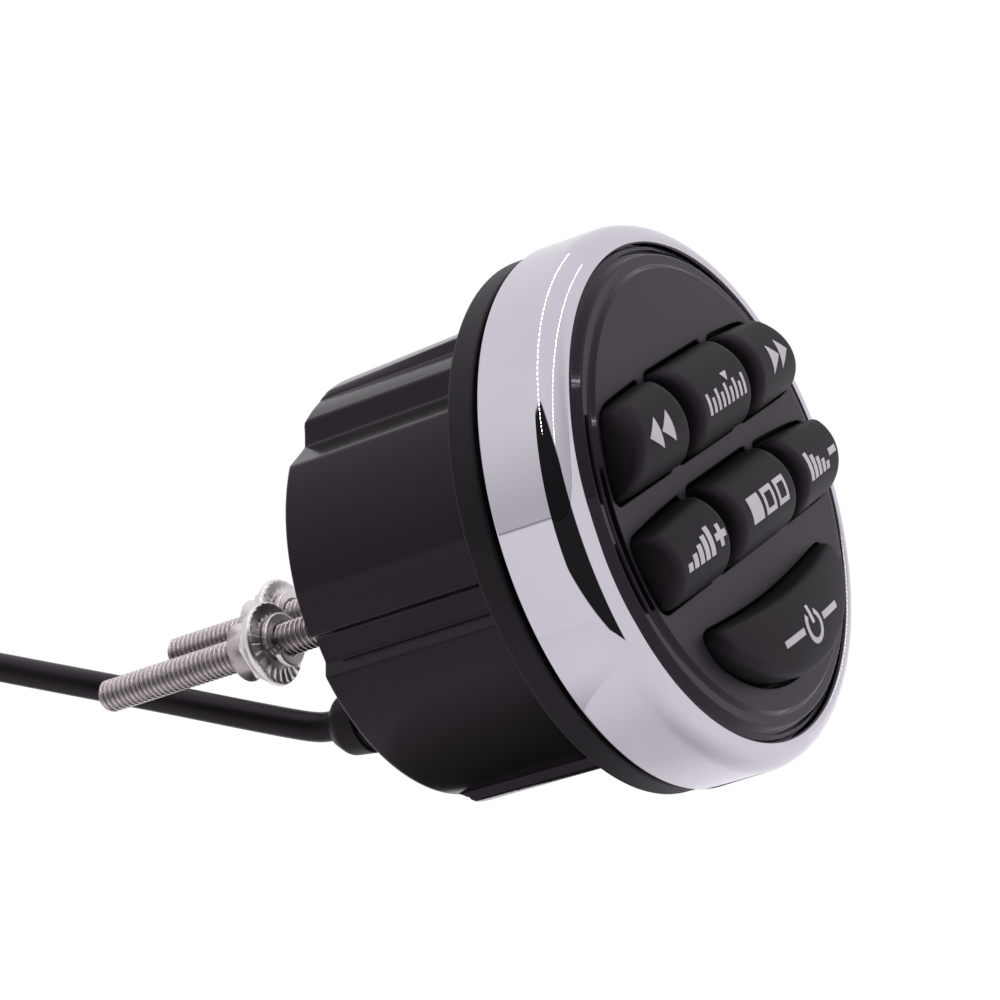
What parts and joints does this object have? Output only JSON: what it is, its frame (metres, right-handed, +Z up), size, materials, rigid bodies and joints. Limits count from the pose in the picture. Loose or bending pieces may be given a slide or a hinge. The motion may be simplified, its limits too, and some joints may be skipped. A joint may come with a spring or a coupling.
{
  "type": "marine stereo",
  "caption": "Round flush-mount marine stereo head: bright bezel, arched keys over a crescent key, short can, threaded studs with flange nuts, cable with plug",
  "frame": {"origin": "centre of the round panel cut-out, on the panel's front surface", "axes": "+Z up, the keys look along -Y, the studs and the cable leave along +Y, +X to the right as seen from the front"},
  "size_m": [0.063, 0.1891, 0.1169],
  "materials": {
    "bright_bezel": "polished chrome plate",
    "seal_rubber": "matt black rubber",
    "can_plastic": "fine satin moulding",
    "face_plastic": "gloss rim round a satin field",
    "key_plastic": "soft-touch satin with pale printed symbols",
    "carbon_pill": "carbon-filled silicone",
    "steel": "plain stainless, rolled threads",
    "board_laminate": "green solder mask",
    "contact_gold": "gold flash",
    "chip_epoxy": "matt epoxy",
    "can_aluminium": "drawn can",
    "header_nylon": "natural nylon",
    "cable_pvc": "satin black PVC",
    "tie_nylon": "black nylon",
    "plug_metal": "nickel plate"
  },
  "bodies": {
    "head": {"chrome_bezel": "bright_bezel", "panel_gasket": "seal_rubber", "face_seal": "seal_rubber", "keypad_mat": "seal_rubber", "rear_housing": "can_plastic", "gland_nut": "can_plastic", "face_plate": "face_plastic", "face_screws": "steel", "left_stud": "steel", "right_stud": "steel", "circuit_board": "board_laminate", "contact_pads": "contact_gold", "plug_pins": "contact_gold", "controller_chip": "chip_epoxy", "capacitors": "can_aluminium", "cable_header": "header_nylon", "cable_tail_inside": "cable_pvc", "cable_lead": "cable_pvc", "cable_coil": "cable_pvc", "cable_gland": "cable_pvc", "cable_plug": "cable_pvc", "cable_tie": "tie_nylon", "plug_shell": "plug_metal"},
    "skip_back_key": {"key_skip_back": "key_plastic", "pill_skip_back": "carbon_pill"},
    "band_key": {"key_band": "key_plastic", "pill_band": "carbon_pill"},
    "skip_forward_key": {"key_skip_forward": "key_plastic", "pill_skip_forward": "carbon_pill"},
    "volume_up_key": {"key_volume_up": "key_plastic", "pill_volume_up": "carbon_pill"},
    "mode_key": {"key_mode": "key_plastic", "pill_mode": "carbon_pill"},
    "volume_down_key": {"key_volume_down": "key_plastic", "pill_volume_down": "carbon_pill"},
    "power_key": {"key_power": "key_plastic", "pill_power": "carbon_pill"},
    "left_washer": {"left_spring_washer": "steel"},
    "left_nut": {"left_flange_nut": "steel"},
    "right_washer": {"right_spring_washer": "steel"},
    "right_nut": {"right_flange_nut": "steel"}
  },
  "joints": [
    {"name": "press_skip_back", "type": "slide", "parent": "head", "child": "skip_back_key", "axis": [0, 1, 0], "range_m": [0, 0.0012], "stiffness_N_per_m": 600},
    {"name": "press_band", "type": "slide", "parent": "head", "child": "band_key", "axis": [0, 1, 0], "range_m": [0, 0.0012], "stiffness_N_per_m": 600},
    {"name": "press_skip_forward", "type": "slide", "parent": "head", "child": "skip_forward_key", "axis": [0, 1, 0], "range_m": [0, 0.0012], "stiffness_N_per_m": 600},
    {"name": "press_volume_up", "type": "slide", "parent": "head", "child": "volume_up_key", "axis": [0, 1, 0], "range_m": [0, 0.0012], "stiffness_N_per_m": 600},
    {"name": "press_mode", "type": "slide", "parent": "head", "child": "mode_key", "axis": [0, 1, 0], "range_m": [0, 0.0012], "stiffness_N_per_m": 600},
    {"name": "press_volume_down", "type": "slide", "parent": "head", "child": "volume_down_key", "axis": [0, 1, 0], "range_m": [0, 0.0012], "stiffness_N_per_m": 600},
    {"name": "press_power", "type": "slide", "parent": "head", "child": "power_key", "axis": [0, 1, 0], "range_m": [0, 0.0012], "stiffness_N_per_m": 600},
    {"name": "left_nut_travel", "type": "slide", "parent": "head", "child": "left_washer", "axis": [0, 1, 0], "range_m": [-0.013, 0.02]},
    {"name": "left_nut_spin", "type": "hinge", "parent": "left_washer", "child": "left_nut", "pos_m": [-0.008, 0.0423, 0], "axis": [0, 1, 0], "range_deg": [-6740, 10350]},
    {"name": "right_nut_travel", "type": "slide", "parent": "head", "child": "right_washer", "axis": [0, 1, 0], "range_m": [-0.0212, 0.0118]},
    {"name": "right_nut_spin", "type": "hinge", "parent": "right_washer", "child": "right_nut", "pos_m": [0.008, 0.0505, 0], "axis": [0, 1, 0], "range_deg": [-10960, 6130]}
  ],
  "couplings": [
    {"joint": "left_nut_spin", "follows": "left_nut_travel", "rad_per_m": 8976},
    {"joint": "right_nut_spin", "follows": "right_nut_travel", "rad_per_m": 8976}
  ]
}
